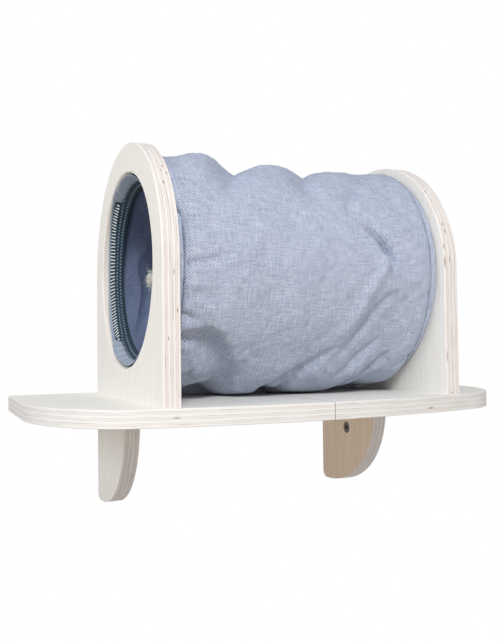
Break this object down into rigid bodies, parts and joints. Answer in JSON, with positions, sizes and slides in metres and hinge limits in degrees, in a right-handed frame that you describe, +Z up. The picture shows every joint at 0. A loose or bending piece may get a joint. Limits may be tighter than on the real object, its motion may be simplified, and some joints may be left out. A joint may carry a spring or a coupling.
{
  "type": "wall-mounted cat tunnel",
  "caption": "Wall shelf of pale plywood on two rounded brackets, carrying a padded cloth tunnel between two arched panels with round holes for a cat to walk through.",
  "frame": {"origin": "on the wall plane, midway between the entry holes of the two keyhole hanger plates", "axes": "+X along the tunnel, to the right as seen from the room; +Y into the wall; +Z up"},
  "size_m": [0.564, 0.298, 0.415],
  "materials": {
    "plywood": "sanded birch plywood with a thin white wash",
    "beech": "fluted beech dowel, unfinished",
    "zinc": "zinc plated",
    "steel": "bright steel",
    "cover_cloth": "linen-look woven cloth, blue-grey melange",
    "lining_cloth": "woven cloth, dark slate blue, overlocked edge",
    "wadding": "white fibre wadding",
    "hook_tape": "white hook-and-loop tape"
  },
  "bodies": {
    "root": {"shelf_board_left": "plywood", "shelf_board_right": "plywood", "arch_panel_left": "plywood", "arch_panel_right": "plywood", "bracket_left": "plywood", "bracket_right": "plywood", "seam_dowels": "beech", "through_dowels": "beech", "bracket_cam_left": "zinc", "bracket_cam_right": "zinc", "cam_bolt_left": "zinc", "cam_bolt_right": "zinc", "arch_screws": "zinc", "hanger_plate_left": "steel", "hanger_plate_right": "steel", "hanger_screws": "zinc", "tunnel_sleeve": "cover_cloth", "hem_band_left": "cover_cloth", "hem_band_right": "cover_cloth", "sleeve_padding": "wadding", "sleeve_lining": "lining_cloth", "sleeve_collar_left": "lining_cloth", "sleeve_collar_right": "lining_cloth", "end_hoop_left": "steel", "end_hoop_right": "steel", "bore_tape_left": "hook_tape", "bore_tape_right": "hook_tape"}
  },
  "joints": []
}
